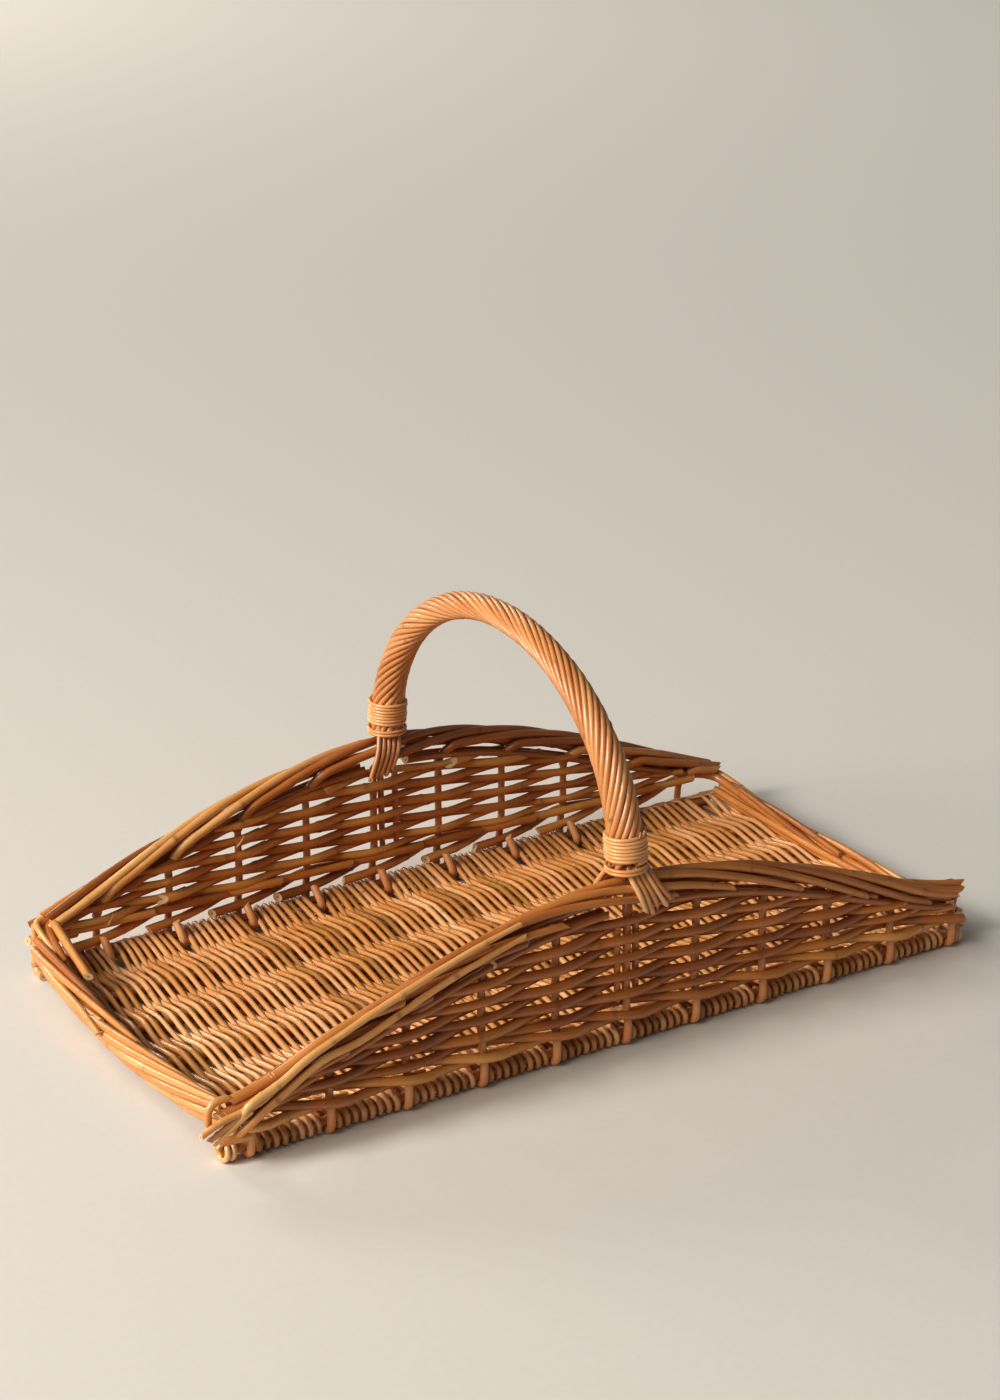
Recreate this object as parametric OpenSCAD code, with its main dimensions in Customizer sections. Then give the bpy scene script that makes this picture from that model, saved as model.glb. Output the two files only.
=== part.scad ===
// Open ended willow basket: a flat woven base, two arched long sides that run down
// to low plaited ends, and a roped handle across the middle.
// X is the length, Y the width, Z up. The origin is the middle of the underside.

/* [Base] */
// Length of the woven base between its two ends
base_len = 560; // [500:10:600]
// Half width from the middle to the axis of each edge stick
edge_y = 145.5; // [135:0.5:150]
// Thickness of the woven base
base_h = 14; // [12:0.5:16]
// Thickness of a base weaver
weaver_t = 3.6; // [3:0.1:4]
// Crossings of the base between two neighbouring stakes
rows_per_bay = 16; // [12:2:18]

/* [Sides] */
// Spacing of the side stakes along the base
stake_pitch = 55; // [50:1:58]
// How far the back stakes stand to the left of the front ones
back_shift = 11.5; // [0:0.5:20]
// Diameter of a side stake
stake_d = 5.6; // [4:0.2:6]
// Distance of the side walls from the middle line
wall_y = 150; // [148:0.5:152]
// Distance of the foot of each stake from the middle line
stub_y = 155.8; // [154:0.1:158]
// Diameter of a side weaver at mid length
side_rod_d = 5.8; // [5:0.1:6]
// Height of the lowest full side weaver above the ground
first_row_z = 33; // [31:0.5:36]
// Spacing of the side weavers at mid length
row_pitch = 6.4; // [6:0.1:7]

/* [Border] */
// Height of the long border at the middle of each side
arch_top = 117; // [100:1:125]
// Height of the long border at the corners
corner_top = 44; // [40:1:50]
// Diameter of a border rod
border_d = 6; // [5:0.1:6.2]
// Reach of the long borders to the left and to the right of the middle, at the front
front_reach = [298, 284]; // [270:1:300]
// Reach of the long borders to the left and to the right of the middle, at the back
back_reach = [280, 296]; // [270:1:300]

/* [Handle] */
// Height of the axis of the handle at its top
handle_top = 252; // [220:1:280]
// Number of rods laid round the handle
roping_rods = 14; // [10:1:16]
// Turns made by each of these rods from one foot to the other
roping_turns = 3.2; // [2:0.2:3.6]
// Thickness of the roped handle at its top
handle_d = 18.4; // [17:0.1:19]
// Number of turns of each foot binding
binding_turns = 9; // [6:1:9]

/* [Hidden] */
$fn = 48;
gap = 0.3;
row_step = stake_pitch / rows_per_bay;
row_count = 6 * floor(base_len / row_step / 6);
rows_per_weaver = 3;
weavers_per_node = row_count / rows_per_weaver / 6;
mid_z = base_h / 2;
stick_r = base_h / 2 - weaver_t - gap;
stick_y = [-edge_y, -80, -27, 27, 80, edge_y];
stake_r = stake_d / 2;
side_r = side_rod_d / 2;
border_r = border_d / 2;
handle_foot_z = 125;
handle_half = 148;
light = [0.86, 0.66, 0.40];
honey = [0.80, 0.56, 0.31];
brown = [0.66, 0.42, 0.22];

function unit(v) = v / norm(v);
function along(path, i) =
  unit(path[min(i + 1, len(path) - 1)] - path[max(i - 1, 0)]);
function ring(path, i, r, sides, ref) =
  let (t = along(path, i), u = unit(cross(ref, t)), w = cross(t, u))
  [for (k = [0:sides - 1])
    path[i] + r * (cos(360 * k / sides) * u + sin(360 * k / sides) * w)];

// A round rod that follows a path, with one radius for each point of the path
module rod(path, radii, sides = 6, ref = [0, 0, 1]) {
  n = len(path);
  points = [for (i = [0:n - 1]) each ring(path, i, radii[i], sides, ref)];
  skin = [for (i = [0:n - 2], k = [0:sides - 1])
    let (a = i * sides + k, b = i * sides + (k + 1) % sides)
    each [[a, a + sides, b + sides], [a, b + sides, b]]];
  near_end = [[for (k = [0:sides - 1]) k]];
  far_end = [[for (k = [0:sides - 1]) n * sides - 1 - k]];
  polyhedron(points, concat(skin, near_end, far_end), convexity = 8);
}

// A straight round stick between two points
module stick(a, b, r) {
  d = b - a;
  translate(a)
    rotate([0, acos(d[2] / norm(d)), atan2(d[1], d[0])])
      cylinder(h = norm(d), r = r);
}

// Height of the top of the long border at a place along the length
function border_top(x) =
  let (c = max(0, cos(90 * min(abs(x), 299.9) / 300)))
  corner_top - 2 + (arch_top - corner_top + 2) * pow(c, 1.3);
function border_mid(x) = border_top(x) - 9.5;

// Place along the length of stake i, from -5 to 5, and shift of one side's stakes
function shift(side) = side > 0 ? back_shift : 0;
function stake_x(side, i) = max(3 - base_len / 2, i * stake_pitch - shift(side));

// Side weavers: height, thickness and reach of each row
function row_z(n, x) =
  first_row_z + row_pitch * (n - 1) * (1 - 0.4 * pow(abs(x) / 300, 1.5));
function row_r(x) = side_r - abs(x) / 300;
function row_reach(n) =
  max([for (x = [0:2.5:290])
    if (row_z(n, x) + row_r(x) < border_mid(x) - 9.6) x]);

// ---- base ----

module edge_stick(side) {
  color(brown)
    translate([-base_len / 2, side * edge_y, mid_z])
      rotate([0, 90, 0]) cylinder(h = base_len, r = stick_r);
}

module base_inner_sticks() {
  color(brown)
    for (i = [1:4])
      translate([-base_len / 2, stick_y[i], mid_z])
        rotate([0, 90, 0]) cylinder(h = base_len, r = stick_r);
}

// Section of one crossing of the base: over and under the lengthwise sticks in turn
function crossing(phase) =
  let (
    rise = (mid_z - weaver_t / 2) * phase,
    middle = [for (i = [0:5])
      let (h = mid_z + rise * (i % 2 == 0 ? 1 : -1))
      each [[stick_y[i] - (i == 0 ? 0 : 4), h], [stick_y[i] + (i == 5 ? 0 : 4), h]]],
    upper = [for (p = middle) [p[0], p[1] + weaver_t / 2]],
    lower = [for (i = [len(middle) - 1:-1:0]) [middle[i][0], middle[i][1] - weaver_t / 2]])
  concat(upper, lower);

// Section of the turn of a weaver round an edge stick
function edge_turn() =
  let (ro = mid_z, ri = mid_z - weaver_t)
  concat(
    [[-3, ro], [0, ro]],
    [for (a = [60:-30:-60]) [ro * cos(a), ro * sin(a)]],
    [[0, -ro], [-3, -ro], [-3, -ri], [0, -ri]],
    [for (a = [-45:45:45]) [ri * cos(a), ri * sin(a)]],
    [[0, ri], [-3, ri]]);

module across(x, width, section) {
  translate([x, 0, 0])
    rotate([90, 0, 90])
      linear_extrude(height = width, center = true) polygon(section);
}

// One base weaver: three crossings of the base joined by two edge turns
module base_weaver(first) {
  width = row_step - 0.15;
  for (k = [0:rows_per_weaver - 1]) {
    j = first + k;
    x = (j - (row_count - 1) / 2) * row_step;
    across(x, width, crossing(j % 2 == 0 ? 1 : -1));
    if (k < rows_per_weaver - 1)
      if (j % 2 == 0)
        across(x + row_step / 2, 2 * row_step - 0.15,
          [for (p = edge_turn()) [-edge_y - p[0], mid_z + p[1]]]);
      else
        across(x + row_step / 2, 2 * row_step - 0.15,
          [for (p = edge_turn()) [edge_y + p[0], mid_z + p[1]]]);
  }
}

module base_weavers(group) {
  color(light)
    for (w = [0:weavers_per_node - 1])
      base_weaver((group * weavers_per_node + w) * rows_per_weaver);
}

// ---- sides ----

// Stakes stand on the outside of the base edge and lean in to the side wall.
// The other end of each one comes up through the base as a short peg.
module stakes(side) {
  color(honey)
    for (i = [-5:5]) {
      x = stake_x(side, i);
      union() {
        stick([x, side * stub_y, 0], [x, side * stub_y, 13], stake_r);
        stick([x, side * stub_y, 12], [x, side * wall_y, 31], stake_r - 0.05);
        stick([x, side * wall_y, 30], [x, side * wall_y, border_mid(x) - 12], stake_r);
      }
      stick([x + 1, side * 133.5, base_h + 0.1], [x - 2, side * 139, 37], stake_r - 0.2);
    }
}

// The lowest row: each short rod starts high inside one stake, bends round the outside
// of the next and ends low inside the one after. Seen from outside it falls to the right.
module foot_rods(side) {
  out_y = side * (152.3 + stake_r + 2.8 + gap);
  in_y = side * (wall_y - 5.9);
  way = -side;
  color(brown)
    for (i = [-5:5]) {
      x = stake_x(side, i);
      high = way * x < -4 * stake_pitch
        ? [[x - 12 * way, side * 154, 26]]
        : [[x - 73 * way, in_y, 29.6], [x - 57 * way, in_y, 29.6]];
      low = way * x > 4 * stake_pitch
        ? [[x + 12 * way, side * 154, 22]]
        : [[x + 53 * way, in_y, 19.2], [x + 83 * way, in_y - side, 17.3]];
      path = concat(
        way * x - 73 < -base_len / 2 && len(high) > 1 ? [high[1]] : high,
        [[x - 14 * way, side * 153.4, 26.6], [x - 2.5 * way, out_y, 24.6],
         [x + 2.5 * way, out_y, 24], [x + 14 * way, side * 153.4, 22.2]],
        way * x + 83 > base_len / 2 && len(low) > 1 ? [low[0]] : low);
      rod(path, [for (p = path) abs(p[0] - x) < 10 ? 2.8 : 2.5], 6);
    }
}

module side_weaver(side, n) {
  reach = row_reach(n);
  step = stake_pitch / 4;
  last = floor(reach / step);
  places = concat(
    [-reach],
    [for (k = [-last - 1:last + 1]) let (x = k * step - shift(side)) if (abs(x) < reach - 3) x],
    [reach]);
  sway = stake_r + side_r + gap;
  path = [for (x = places)
    [x, side * (wall_y + sway * cos(180 * (x + shift(side)) / stake_pitch) * (n % 2 == 0 ? 1 : -1)),
     row_z(n, x)]];
  color(n % 3 == 0 ? honey : brown)
    rod(path, [for (x = places) row_r(x)], 5);
}

// ---- borders ----

function border_ends(side) = side < 0 ? [-front_reach[0], front_reach[1]] : [-back_reach[0], back_reach[1]];

// Spread of the border rods in width: wider at mid length, where the handle goes through
function border_spread(x) = 6.3 + 4.6 * exp(-pow(x / 34, 2));

module border_rod(side, k) {
  ends = border_ends(side);
  places = [for (i = [0:20]) ends[0] + (ends[1] - ends[0]) * i / 20];
  path = [for (x = places)
    let (a = 45 + 90 * (k - 1) + 35 * x / 300)
    [x, side * (wall_y + border_spread(x) * sin(a)), border_mid(x) + 8.5 * cos(a)]];
  color(k % 2 == 0 ? honey : light)
    rod(path, [for (x = places) border_r - 0.6 * abs(x) / 300], 6);
}

module border_filler(side) {
  color(brown)
    for (s = [-1, 1]) {
      far = border_ends(side)[s > 0 ? 1 : 0] - 4 * s;
      places = [for (i = [0:8]) s > 0 ? 14 + (far - 14) * i / 8 : far + (-14 - far) * i / 8];
      rod([for (x = places) [x, side * wall_y, border_mid(x)]],
          [for (x = places) 2.7], 6);
    }
}

// Low plaited end: five rods that cross over one another along the end of the base
module end_border(side) {
  color(light)
    for (k = [0:4]) {
      places = [for (i = [0:10]) -139 + 278 * i / 10];
      rod([for (y = places)
        let (a = 72 * k + 180 * y / 278)
        [side * (288.6 + 5.5 * sin(a)), y, 16.2 + 8 * cos(a)]],
        [for (y = places) border_r], 6);
    }
}

// Rods that come down off the border across the front left corner, over the end
module corner_rods_front(side) {
  y = -162.2;
  color(light) {
    stick([side * 299, y, 28], [side * 266, y, 43.5], 2.6);
    stick([side * 299, y, 21.8], [side * 266, y, 37.3], 2.6);
    stick([side * 299, y, 15.6], [side * 283, y, 23.1], 2.5);
  }
}

// Rods turned down inside a back corner on to the plaited end
module corner_rods_back(side) {
  color(light) {
    stick([side * 284, 141, 42], [side * 284, 112, 31], 2.4);
    stick([side * 277, 139.5, 41], [side * 282, 80, 28], 2.8);
  }
}

// ---- handle ----

function bow_point(a) =
  [0, handle_half * cos(a), handle_foot_z + (handle_top - handle_foot_z) * sin(a)];
function bow_path(parts) = concat(
  [[0, handle_half, handle_foot_z - 5]],
  [for (i = [0:parts]) bow_point(180 * i / parts)],
  [[0, -handle_half, handle_foot_z - 5]]);

// Radius of the circle on which the roping rods lie, from 0 at one foot to 1 at the other
function roping_radius(t) =
  let (x = abs(2 * t - 1))
  (handle_d + 6.4 * pow(x, 1.5) - 1.6 * pow(x, 16)) / 2.42;
function roping_rod_r(t) = 2.8 / roping_rods * roping_radius(t);
function bow_r(t) = roping_radius(t) - roping_rod_r(t) - gap;

module handle_bow() {
  parts = 28;
  path = bow_path(parts);
  radii = concat([bow_r(0)], [for (i = [0:parts]) bow_r(i / parts)], [bow_r(1)]);
  color(brown) rod(path, radii, 8, [1, 0, 0]);
}

module handle_roping() {
  parts = 28;
  color(light)
    for (k = [0:roping_rods - 1]) {
      path = [for (i = [0:parts])
        let (
          t = i / parts, p = bow_point(180 * t),
          q = bow_point(180 * t + 0.5) - bow_point(180 * t - 0.5),
          n = unit([0, q[2], -q[1]]),
          a = 360 * (k / roping_rods + roping_turns * t))
        p + roping_radius(t) * (cos(a) * n + sin(a) * [-1, 0, 0])];
      rod(path, [for (i = [0:parts]) roping_rod_r(i / parts)], 5, [1, 0.001, 0]);
    }
}

module handle_binding(side) {
  color(light)
    for (k = [0:binding_turns - 1])
      translate([0, side * (handle_half - 0.0035 * pow(2.5 * k, 2)), handle_foot_z - 1 + 2.55 * k])
        rotate_extrude() translate([13.2, 0]) circle(r = 1.12);
}

// Ends of the roping below the binding: one fan over the outside of the border,
// one down the inside
module handle_tails(side) {
  color(light)
    for (k = [0:4]) {
      out = -3 + 3.9 * k;
      rod([[out, side * 156.8, 121.5], [out + 3 + 0.3 * k, side * 162.4, 113.8],
           [out + 8 + 1.1 * k, side * 163.4, 93 + 0.8 * k]], [1.75, 1.85, 1.85], 6, [1, 0, 0]);
      inside = -11 + 3.9 * k;
      rod([[inside, side * 141, 121.5], [inside - 1.5 + 0.2 * k, side * 135.8, 113.8],
           [inside - 4 + 0.5 * k, side * 134.6, 90 + 1.4 * k]], [1.75, 1.85, 1.85], 6, [1, 0, 0]);
    }
}

// Thin rods of the bow that run on down inside the side wall to the base
module handle_legs(side) {
  color(honey)
    for (x = side > 0 ? [-4.6, 7.2] : [-7.2, 7.2])
      stick([x, side * wall_y, 36], [x, side * wall_y, border_mid(0) - 11.5], 2.3);
}

edge_stick(-1);  // base_edge_stick_front
edge_stick(1);  // base_edge_stick_back
base_inner_sticks();
base_weavers(0);  // base_weavers_1
base_weavers(1);  // base_weavers_2
base_weavers(2);  // base_weavers_3
base_weavers(3);  // base_weavers_4
base_weavers(4);  // base_weavers_5
base_weavers(5);  // base_weavers_6
stakes(-1);  // stakes_front
stakes(1);  // stakes_back
foot_rods(-1);  // foot_rods_front
foot_rods(1);  // foot_rods_back
side_weaver(-1, 1);  // front_weaver_1
side_weaver(-1, 2);  // front_weaver_2
side_weaver(-1, 3);  // front_weaver_3
side_weaver(-1, 4);  // front_weaver_4
side_weaver(-1, 5);  // front_weaver_5
side_weaver(-1, 6);  // front_weaver_6
side_weaver(-1, 7);  // front_weaver_7
side_weaver(-1, 8);  // front_weaver_8
side_weaver(-1, 9);  // front_weaver_9
side_weaver(-1, 10);  // front_weaver_10
side_weaver(1, 1);  // back_weaver_1
side_weaver(1, 2);  // back_weaver_2
side_weaver(1, 3);  // back_weaver_3
side_weaver(1, 4);  // back_weaver_4
side_weaver(1, 5);  // back_weaver_5
side_weaver(1, 6);  // back_weaver_6
side_weaver(1, 7);  // back_weaver_7
side_weaver(1, 8);  // back_weaver_8
side_weaver(1, 9);  // back_weaver_9
side_weaver(1, 10);  // back_weaver_10
border_rod(-1, 1);  // front_border_rod_1
border_rod(-1, 2);  // front_border_rod_2
border_rod(-1, 3);  // front_border_rod_3
border_rod(-1, 4);  // front_border_rod_4
border_filler(-1);  // front_border_filler
border_rod(1, 1);  // back_border_rod_1
border_rod(1, 2);  // back_border_rod_2
border_rod(1, 3);  // back_border_rod_3
border_rod(1, 4);  // back_border_rod_4
border_filler(1);  // back_border_filler
end_border(-1);  // end_border_left
end_border(1);  // end_border_right
corner_rods_front(-1);  // corner_rods_front_left
corner_rods_back(-1);  // corner_rods_back_left
corner_rods_back(1);  // corner_rods_back_right
handle_bow();
handle_roping();
handle_binding(-1);  // handle_binding_front
handle_binding(1);  // handle_binding_back
handle_tails(-1);  // handle_tails_front
handle_tails(1);  // handle_tails_back
handle_legs(-1);  // handle_legs_front
handle_legs(1);  // handle_legs_back
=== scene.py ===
import math
import random

import bpy
import numpy as np
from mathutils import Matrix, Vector


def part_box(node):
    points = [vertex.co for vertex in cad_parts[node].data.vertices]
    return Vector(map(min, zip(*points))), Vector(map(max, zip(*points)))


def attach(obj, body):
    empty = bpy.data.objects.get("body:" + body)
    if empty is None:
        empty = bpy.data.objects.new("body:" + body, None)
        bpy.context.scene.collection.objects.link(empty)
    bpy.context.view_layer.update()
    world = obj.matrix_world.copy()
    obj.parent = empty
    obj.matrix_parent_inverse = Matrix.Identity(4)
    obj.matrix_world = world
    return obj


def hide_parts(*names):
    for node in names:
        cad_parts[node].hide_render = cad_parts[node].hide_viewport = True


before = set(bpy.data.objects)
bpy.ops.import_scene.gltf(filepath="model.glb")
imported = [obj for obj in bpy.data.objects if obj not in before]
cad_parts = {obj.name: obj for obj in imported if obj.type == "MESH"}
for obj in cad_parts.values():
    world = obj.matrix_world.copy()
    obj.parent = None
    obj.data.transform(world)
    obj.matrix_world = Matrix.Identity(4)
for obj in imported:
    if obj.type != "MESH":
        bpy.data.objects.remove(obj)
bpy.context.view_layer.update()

# Lengths in this script are in millimetres. A mesh is scaled to metres when it is made.
# X is the length of the basket, Y its width and Z is up. "front" is the -Y side.


# ---- driving dimensions ----

def node_box(name):
    """Lowest and highest corner of a CAD node, in millimetres."""
    low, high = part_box(name)
    return np.array(low) * 1000.0, np.array(high) * 1000.0


stick_low, stick_high = node_box("base_edge_stick_back")
EDGE_Y = (stick_low[1] + stick_high[1]) / 2
MID_Z = (stick_low[2] + stick_high[2]) / 2
STICK_R = (stick_high[2] - stick_low[2]) / 2
BASE_HALF = stick_high[0]
INNER_Y = node_box("base_inner_sticks")[1][1] - STICK_R
STICK_Y = [-EDGE_Y, -INNER_Y, -INNER_Y * 0.3375, INNER_Y * 0.3375, INNER_Y, EDGE_Y]
BASE_TOP = 2 * MID_Z

STAKE_PITCH = 55.0
BACK_SHIFT = 11.5
ROWS_PER_BAY = 16
ROW_STEP = STAKE_PITCH / ROWS_PER_BAY
ROWS = 162
ROWS_PER_ROD = 3
GROUPS = 6

WALL_Y = 150.0
STAKE_R = 2.8
ARCH_TOP = 117.0
CORNER_TOP = 44.0
FIRST_ROW_Z = 33.0
ROW_PITCH = 6.4
WALL_ROWS = 10
BORDER_LANES = 4
BORDER_ENDS = {-1: (-298.0, 284.0), 1: (-280.0, 296.0)}

HANDLE_FOOT_Z = 125.0
HANDLE_HALF = 148.0
HANDLE_RISE = 127.0
HANDLE_D = 18.4
STRANDS = 14
STRAND_TURNS = 3.2
BINDING_R = 13.0
TAILS = 5

FIRST_TURN = 6.85
TURN_STEP = 5.9
TURN_LEAN = 0.9
LEFT_SKEW = 10
RIGHT_SKEW = 13
WRAP_R = 5.0

BORDER_ROD_LENGTH = 236
LANE_START = -108
LANE_TURN = 233
LANE_UP = 8.6
END_HALF = 141
END_ROD_LENGTH = 250

SIDES = ((-1, "front"), (1, "back"))


def side_shift(side):
    """How much further left the stakes of a side stand than those of the front."""
    return BACK_SHIFT if side > 0 else 0.0


def stake_x(side, i):
    """Place of stake i along the side."""
    return max(3 - BASE_HALF, i * STAKE_PITCH - side_shift(side))


def border_mid(x):
    """Height of the middle of the arched border."""
    c = max(0.0, math.cos(math.radians(90 * min(abs(x), 299.9) / 300)))
    return CORNER_TOP - 2 + (ARCH_TOP - CORNER_TOP + 2) * c ** 1.3 - 9.5


def border_spread(x):
    """Half thickness of the border: it opens where the handle goes through."""
    return 6.3 + 4.6 * math.exp(-((x / 34) ** 2))


def row_z(n, x):
    """Height of side weaver n. The rows draw together towards the ends."""
    return FIRST_ROW_Z + ROW_PITCH * (n - 1) * (1 - 0.4 * (abs(x) / 300) ** 1.5)


def row_reach(n):
    """How far from the middle row n goes before it meets the border."""
    reach = 0.0
    for k in range(117):
        x = 2.5 * k
        if row_z(n, x) + 2.9 - x / 300 < border_mid(x) - 9.6:
            reach = x
    return reach


# ---- rods ----

def smooth_path(points):
    """A fine smooth line through the points (centripetal Catmull-Rom)."""
    pts = [np.array(p, float) for p in points]
    if len(pts) < 3:
        n = max(2, int(np.linalg.norm(pts[1] - pts[0]) / 2))
        return np.array([pts[0] + (pts[1] - pts[0]) * k / n for k in range(n + 1)])
    pts = [2 * pts[0] - pts[1]] + pts + [2 * pts[-1] - pts[-2]]
    line = [pts[1]]
    for i in range(1, len(pts) - 2):
        p0, p1, p2, p3 = pts[i - 1:i + 3]
        t1 = max(np.linalg.norm(p1 - p0), 1e-3) ** 0.5
        t2 = t1 + max(np.linalg.norm(p2 - p1), 1e-3) ** 0.5
        t3 = t2 + max(np.linalg.norm(p3 - p2), 1e-3) ** 0.5
        n = max(2, int(np.linalg.norm(p2 - p1) / 1.6))
        t = np.linspace(t1, t2, n + 1)[1:, None]
        a1 = p0 * (t1 - t) / t1 + p1 * t / t1
        a2 = p1 * (t2 - t) / (t2 - t1) + p2 * (t - t1) / (t2 - t1)
        a3 = p2 * (t3 - t) / (t3 - t2) + p3 * (t - t2) / (t3 - t2)
        b1 = a1 * (t2 - t) / t2 + a2 * t / t2
        b2 = a2 * (t3 - t) / (t3 - t1) + a3 * (t - t1) / (t3 - t1)
        line.extend(b1 * (t2 - t) / (t2 - t1) + b2 * (t - t1) / (t2 - t1))
    return np.array(line)


def thin_out(line, step, bend):
    """Keeps the points of a fine line that its bends and its length need."""
    kept = [0]
    turned = 0.0
    gone = 0.0
    legs = np.diff(line, axis=0)
    lengths = np.maximum(np.linalg.norm(legs, axis=1), 1e-9)
    ways = legs / lengths[:, None]
    for i in range(1, len(line) - 1):
        turned += math.acos(max(-1.0, min(1.0, float(ways[i] @ ways[i - 1]))))
        gone += lengths[i - 1]
        if gone >= step or turned >= bend:
            kept.append(i)
            turned = 0.0
            gone = 0.0
    kept.append(len(line) - 1)
    return line[kept]


def carried_frames(line, first=None):
    """Directions across a line that turn as little as possible along it."""
    ways = np.gradient(line, axis=0)
    ways /= np.maximum(np.linalg.norm(ways, axis=1), 1e-9)[:, None]
    start = np.array(first if first is not None else (0.13, 0.21, 1.0), float)
    if abs(start @ ways[0]) > 0.9 * np.linalg.norm(start):
        start = np.array((1.0, 0.2, 0.1))
    across = []
    now = start
    for way in ways:
        now = now - way * (now @ way)
        now = now / max(np.linalg.norm(now), 1e-9)
        across.append(now)
    across = np.array(across)
    return ways, across, np.cross(ways, across)


class Rods:
    """A bundle of rods that becomes one mesh. Each rod keeps its tone on its vertices,
    with the grain's direction, its buds and its cut ends."""

    def __init__(self, seed):
        self.rng = random.Random(seed)
        self.places = []
        self.tone = []
        self.grain = []
        self.bud = []
        self.cut = []
        self.faces = []

    def _keep(self, places, tone, grain, bud, cut):
        first = len(self.places)
        self.places.extend(places)
        self.tone.extend([tone] * len(places))
        self.grain.extend(grain)
        self.bud.extend(bud)
        self.cut.extend([cut] * len(places))
        return first

    def add(self, path, radius, tone=None, sides=10, step=5.0, smooth=True, buds=70.0,
            slant=(0.5, 0.5), flat=1.0, across=None, uneven=0.035):
        """One rod along path. radius is one number, or one for each point of path."""
        rng = self.rng
        points = np.array([list(p) for p in path], float)
        fine = smooth_path(points) if smooth else points
        line = thin_out(fine, step, 0.24)
        run = np.concatenate([[0], np.cumsum(np.linalg.norm(np.diff(line, axis=0), axis=1))])
        total = run[-1]
        marks = []
        if buds:
            place = rng.uniform(0.2, 1.0) * buds
            while place < total - 6:
                marks.append(place)
                place += rng.uniform(0.6, 1.4) * buds
        if marks:
            extra = [m + d for m in marks for d in (-2.4, -0.9, 0.9, 2.4)]
            new_run = np.unique(np.round(np.concatenate([run, extra]), 2))
            new_run = new_run[(new_run >= 0) & (new_run <= total)]
            line = np.stack([np.interp(new_run, run, line[:, k]) for k in range(3)], axis=1)
            run = new_run
        if np.ndim(radius) == 0:
            thick = np.full(len(line), float(radius))
        else:
            spans = np.concatenate(
                [[0], np.cumsum(np.linalg.norm(np.diff(points, axis=0), axis=1))])
            thick = np.interp(run / total, spans / spans[-1], np.array(radius, float))
        wave = rng.uniform(0, 6.28)
        thick = thick * (1 + uneven * np.sin(run / 9.0 + wave) * np.sin(run / 23.0 + 2 * wave))
        bud = np.zeros(len(line))
        for m in marks:
            bud = np.maximum(bud, np.exp(-((run - m) / 1.5) ** 2))
        ways, right, up = carried_frames(line, across)
        angle = np.arange(sides) * 2 * math.pi / sides
        bud_side = rng.uniform(0, 6.28)
        lobe = np.clip(np.cos(angle - bud_side), 0, 1) ** 1.5
        swell = 1 + bud[:, None] * (0.05 + 0.13 * lobe[None, :])
        ring_r = thick[:, None] * swell
        c = np.cos(angle)[None, :, None]
        s = np.sin(angle)[None, :, None]
        rings = line[:, None, :] + ring_r[:, :, None] * (
            flat * c * right[:, None, :] + s * up[:, None, :])
        lean = rng.uniform(0, 6.28)
        for end, sign in ((0, -1), (-1, 1)):
            tilt = slant[0 if end == 0 else 1] * thick[end] * np.cos(angle - lean)
            rings[end] += sign * ways[end][None, :] * tilt[:, None]
        tone = rng.random() if tone is None else tone
        offset = rng.uniform(0, 4000)
        grain = np.stack([
            thick[:, None] * np.cos(angle)[None, :],
            thick[:, None] * np.sin(angle)[None, :],
            np.repeat((run + offset)[:, None], sides, axis=1)], axis=2)
        marked = bud[:, None] * (0.25 + 0.75 * lobe[None, :])
        first = self._keep(
            rings.reshape(-1, 3).tolist(), tone, grain.reshape(-1, 3).tolist(),
            marked.reshape(-1).tolist(), 0.0)
        for i in range(len(line) - 1):
            for k in range(sides):
                a = first + i * sides + k
                b = first + i * sides + (k + 1) % sides
                self.faces.append((a, b, b + sides, a + sides))
        for end in (0, -1):
            rim = rings[end]
            middle = rim.mean(axis=0)
            g = grain[end]
            cap = self._keep(
                rim.tolist() + [middle.tolist()], tone,
                g.tolist() + [[0.0, 0.0, float(g[0][2])]], [0.0] * (sides + 1), 1.0)
            for k in range(sides):
                a, b = cap + k, cap + (k + 1) % sides
                self.faces.append((b, a, cap + sides) if end == 0 else (a, b, cap + sides))

    def build(self, name, material, slot, *nodes):
        """Makes the mesh object, in metres, in place of the CAD nodes that it stands for."""
        mesh = bpy.data.meshes.new(name)
        mesh.from_pydata((np.array(self.places) * 0.001).tolist(), [], self.faces)
        mesh.polygons.foreach_set("use_smooth", [True] * len(mesh.polygons))
        for word, values in (("tone", self.tone), ("bud", self.bud), ("cut", self.cut)):
            layer = mesh.attributes.new(word, "FLOAT", "POINT")
            layer.data.foreach_set("value", values)
        layer = mesh.attributes.new("grain", "FLOAT_VECTOR", "POINT")
        layer.data.foreach_set("vector", np.array(self.grain, "f").reshape(-1))
        mesh.materials.append(material)
        mesh.update()
        piece = bpy.data.objects.new(name, mesh)
        bpy.context.scene.collection.objects.link(piece)
        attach(piece, "root")
        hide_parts(*nodes)
        return piece


# ---- materials ----

RELIEF = 0.25


def linear(red, green, blue):
    """A display colour, 0 to 255, as the linear colour that a shader takes."""
    return tuple(
        (v / 255 / 12.92) if v / 255 <= 0.04045 else ((v / 255 + 0.055) / 1.055) ** 2.4
        for v in (red, green, blue)) + (1.0,)


def node(tree, kind, links=(), **values):
    """Adds a node, sets its inputs by name or number and links the given sockets to it."""
    made = tree.nodes.new(kind)
    for word, value in values.items():
        if word.startswith("in_"):
            made.inputs[int(word[3:])].default_value = value
        else:
            setattr(made, word, value)
    for place, source in links:
        tree.links.new(source, made.inputs[place])
    return made


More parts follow.
